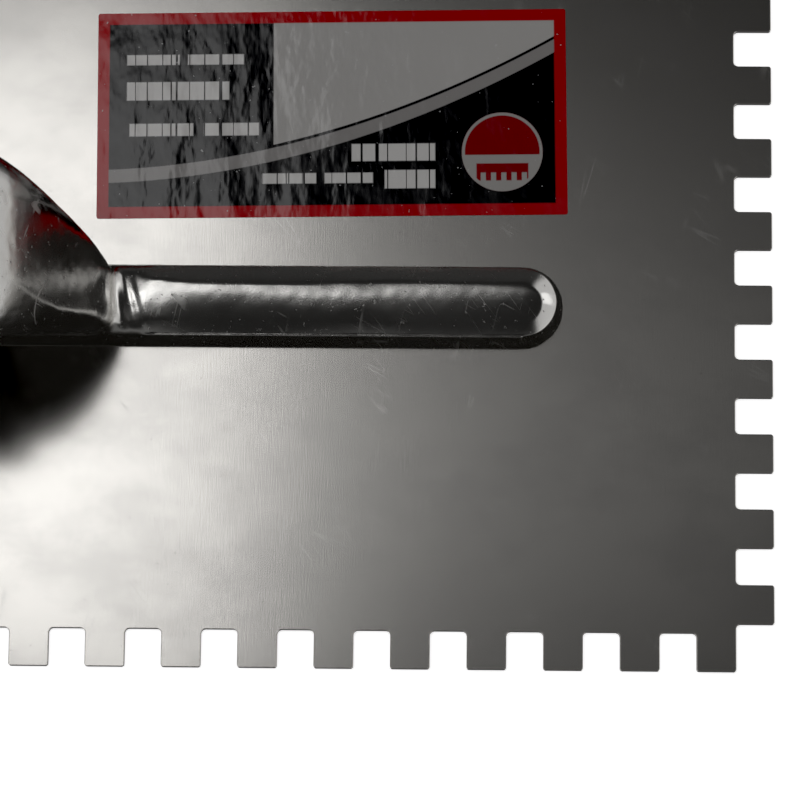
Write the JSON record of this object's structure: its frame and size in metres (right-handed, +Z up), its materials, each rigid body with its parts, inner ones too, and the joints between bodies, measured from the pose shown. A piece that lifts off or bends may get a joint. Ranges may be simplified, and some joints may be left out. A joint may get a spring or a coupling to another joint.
{
  "type": "notched trowel",
  "caption": "Rectangular stainless trowel with square notches on one long side and the toe, cast aluminium bar and post, and a soft-grip handle over the blade.",
  "frame": {"origin": "centre of the blade's underside, on the surface the trowel lies on", "axes": "+X towards the toe, along the blade; +Y towards the plain long edge; +Z up, from blade to handle"},
  "size_m": [0.28, 0.1222, 0.0695],
  "materials": {
    "stainless_sheet": "satin, fine grain across the width",
    "polished_casting": "hand polished, slightly wavy",
    "rivet_metal": "ground flush with the blade",
    "hard_core": "moulded",
    "soft_sleeve": "soft-touch, matt, ribbed",
    "red_inlay": "moulded, semi-gloss",
    "cap_plastic": "moulded, fine spark texture",
    "plated_steel": "zinc plated",
    "label_film": "printed, gloss laminated"
  },
  "bodies": {
    "root": {"blade": "stainless_sheet", "mounting": "polished_casting", "blade_rivets": "rivet_metal", "handle_core": "hard_core", "soft_grip": "soft_sleeve", "left_inlay": "red_inlay", "right_inlay": "red_inlay", "end_cap": "cap_plastic", "tang_rod": "plated_steel", "anti_turn_pin": "plated_steel", "tang_washer": "plated_steel", "tang_nut": "plated_steel", "label": "label_film"}
  },
  "joints": []
}
